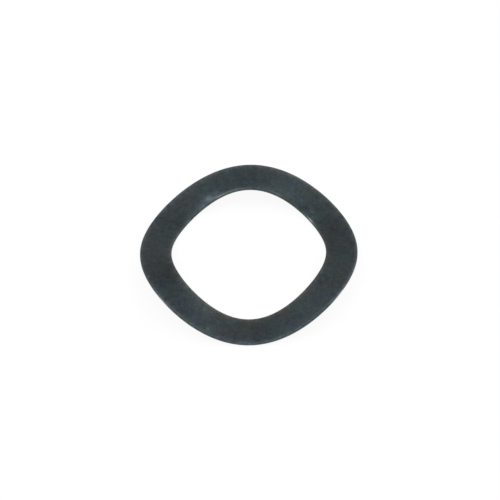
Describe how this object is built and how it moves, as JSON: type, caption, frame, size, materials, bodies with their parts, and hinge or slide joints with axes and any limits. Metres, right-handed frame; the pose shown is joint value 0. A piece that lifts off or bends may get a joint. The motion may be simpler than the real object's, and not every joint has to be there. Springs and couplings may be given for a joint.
{
  "type": "wave spring washer",
  "caption": "Thin blackened spring washer pressed into waves, a flat ring that pushes back lightly when squeezed between a bearing and its seat.",
  "frame": {"origin": "on the bore's axis, in the plane that the three troughs stand on", "axes": "+Z along the bore's axis, from the troughs to the crests; +Y through the first crest"},
  "size_m": [0.0215, 0.0216, 0.0024],
  "materials": {
    "blackened_steel": "blue-black oxide on rolled spring strip, satin, with brighter rubbed edges"
  },
  "bodies": {
    "root": {"wave_washer": "blackened_steel"}
  },
  "joints": []
}
